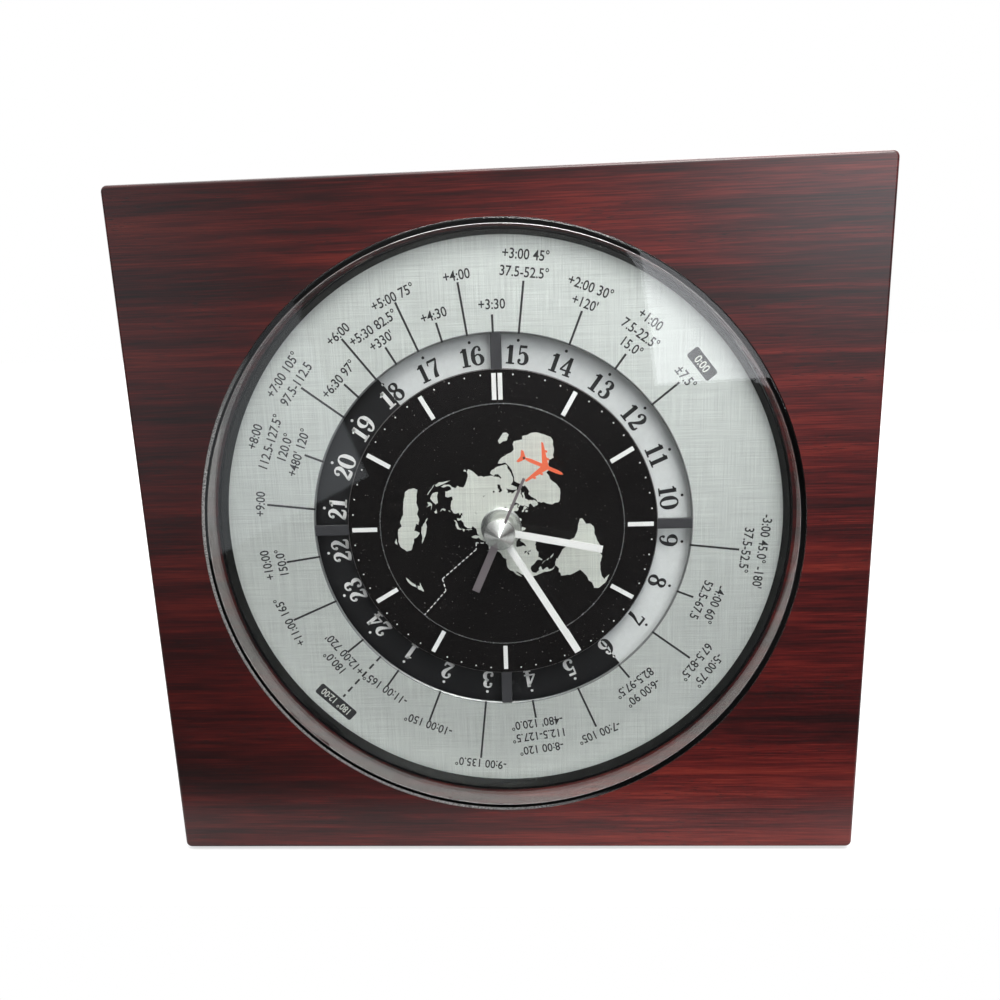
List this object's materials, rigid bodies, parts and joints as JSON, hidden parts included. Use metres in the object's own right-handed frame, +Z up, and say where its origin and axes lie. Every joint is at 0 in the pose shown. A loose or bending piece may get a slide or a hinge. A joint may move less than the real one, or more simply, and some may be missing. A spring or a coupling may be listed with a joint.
{
  "type": "world time clock",
  "caption": "Desk clock in a square wooden case with a domed crystal, a 24-hour disc in a window, a polar map and three hands.",
  "frame": {"origin": "under the middle of the case, on the surface that it stands on", "axes": "+Z up, -Y out of the dial towards the reader, +X to the reader's right"},
  "size_m": [0.2176, 0.0685, 0.2076],
  "materials": {
    "case_wood": "dark reddish veneer, semi-gloss",
    "block_wood": "raw",
    "felt": "felt",
    "crystal": "clear acrylic",
    "rim": "glossy black",
    "dial_silver": "cross-brushed silver",
    "map_black": "glossy black with silver print",
    "disc_print": "half white and half black, printed",
    "chrome": "turned",
    "hand_white": "white enamel",
    "hand_grey": "satin grey",
    "airliner_red": "orange-red enamel",
    "black_plastic": "satin black",
    "movement_plastic": "satin",
    "gear_plastic": "moulded acetal",
    "brass": "turned",
    "steel": "plated",
    "magnet": "sintered",
    "copper": "enamelled copper wire",
    "board_green": "solder mask",
    "chip_black": "epoxy",
    "cell_sleeve": "plain printed sleeve"
  },
  "bodies": {
    "case": {"front_panel": "case_wood", "top_board": "case_wood", "bottom_board": "case_wood", "left_board": "case_wood", "right_board": "case_wood", "corner_blocks": "block_wood", "felt_pad": "felt", "crystal": "crystal", "rim_ring": "rim", "dial_plate": "dial_silver", "map_disc": "map_black", "dial_bushing": "chrome", "ring_retainer": "steel", "dial_housing": "black_plastic", "housing_screws": "steel", "idler_post": "steel", "movement_base": "movement_plastic", "centre_nut": "brass", "movement_cover": "movement_plastic", "movement_screws": "steel", "train_bridge": "movement_plastic", "bridge_screws": "steel", "stator": "steel", "coil_core": "steel", "coil_bobbin": "gear_plastic", "coil_winding": "copper", "circuit_board": "board_green", "quartz_can": "chrome", "control_chip": "chip_black", "battery": "cell_sleeve", "contact_plus": "steel", "contact_minus": "steel", "back_cover": "black_plastic", "back_screws": "steel", "door_pin": "steel"},
    "second_arbor": {"second_wheel": "gear_plastic", "second_hand": "hand_grey", "airplane": "airliner_red", "hub_cap": "chrome"},
    "third": {"third_wheel": "gear_plastic"},
    "intermediate": {"intermediate_wheel": "gear_plastic"},
    "rotor": {"rotor_pinion": "gear_plastic", "rotor_magnet": "magnet"},
    "centre": {"centre_wheel": "gear_plastic"},
    "minute": {"minute_cannon": "brass", "clutch_spring": "steel", "minute_hand": "hand_white"},
    "motion": {"motion_wheel": "gear_plastic"},
    "hour": {"hour_wheel": "gear_plastic", "ring_drive_gear": "gear_plastic", "hour_hand": "hand_white"},
    "idler": {"ring_idler": "gear_plastic"},
    "twenty_four_hour_disc": {"ring_gear": "gear_plastic", "hour_ring": "disc_print"},
    "setting": {"set_shaft": "gear_plastic", "set_knob": "black_plastic"},
    "door": {"battery_door": "black_plastic"}
  },
  "joints": [
    {"name": "second_spin", "type": "hinge", "parent": "case", "child": "second_arbor", "pos_m": [0, -0.0343, 0.10785], "axis": [0, 1, 0], "continuous": true},
    {"name": "third_spin", "type": "hinge", "parent": "case", "child": "third", "pos_m": [-0.01182, -0.0003, 0.11102], "axis": [0, 1, 0], "continuous": true},
    {"name": "intermediate_spin", "type": "hinge", "parent": "case", "child": "intermediate", "pos_m": [0.01064, 0.0029, 0.10973], "axis": [0, 1, 0], "continuous": true},
    {"name": "rotor_spin", "type": "hinge", "parent": "case", "child": "rotor", "pos_m": [0.01739, 0.0051, 0.11777], "axis": [0, 1, 0], "continuous": true},
    {"name": "centre_wheel_spin", "type": "hinge", "parent": "case", "child": "centre", "pos_m": [0, -0.0019, 0.10785], "axis": [0, 1, 0], "continuous": true},
    {"name": "minute_spin", "type": "hinge", "parent": "case", "child": "minute", "pos_m": [0, -0.0313, 0.10785], "axis": [0, 1, 0], "continuous": true},
    {"name": "motion_spin", "type": "hinge", "parent": "case", "child": "motion", "pos_m": [0.006, -0.0033, 0.11824], "axis": [0, 1, 0], "continuous": true},
    {"name": "hour_spin", "type": "hinge", "parent": "case", "child": "hour", "pos_m": [0, -0.0288, 0.10785], "axis": [0, 1, 0], "continuous": true},
    {"name": "idler_spin", "type": "hinge", "parent": "case", "child": "idler", "pos_m": [0, -0.0131, 0.09385], "axis": [0, 1, 0], "continuous": true},
    {"name": "disc_spin", "type": "hinge", "parent": "case", "child": "twenty_four_hour_disc", "pos_m": [0, -0.0189, 0.10785], "axis": [0, 1, 0], "continuous": true},
    {"name": "setting_spin", "type": "hinge", "parent": "case", "child": "setting", "pos_m": [0, 0.0208, 0.12863], "axis": [0, 1, 0], "continuous": true},
    {"name": "battery_door_hinge", "type": "hinge", "parent": "case", "child": "door", "pos_m": [0, 0.0195, 0.07435], "axis": [-1, 0, 0], "range_deg": [0, 110]}
  ],
  "couplings": [
    {"joint": "third_spin", "follows": "second_spin", "ratio": -0.13333},
    {"joint": "intermediate_spin", "follows": "second_spin", "ratio": -5},
    {"joint": "rotor_spin", "follows": "second_spin", "ratio": 30},
    {"joint": "centre_wheel_spin", "follows": "second_spin", "ratio": 0.016667},
    {"joint": "motion_spin", "follows": "minute_spin", "ratio": -0.33333},
    {"joint": "hour_spin", "follows": "minute_spin", "ratio": 0.083333},
    {"joint": "idler_spin", "follows": "minute_spin", "ratio": -0.0625},
    {"joint": "disc_spin", "follows": "minute_spin", "ratio": 0.041667},
    {"joint": "setting_spin", "follows": "minute_spin", "ratio": 1}
  ]
}
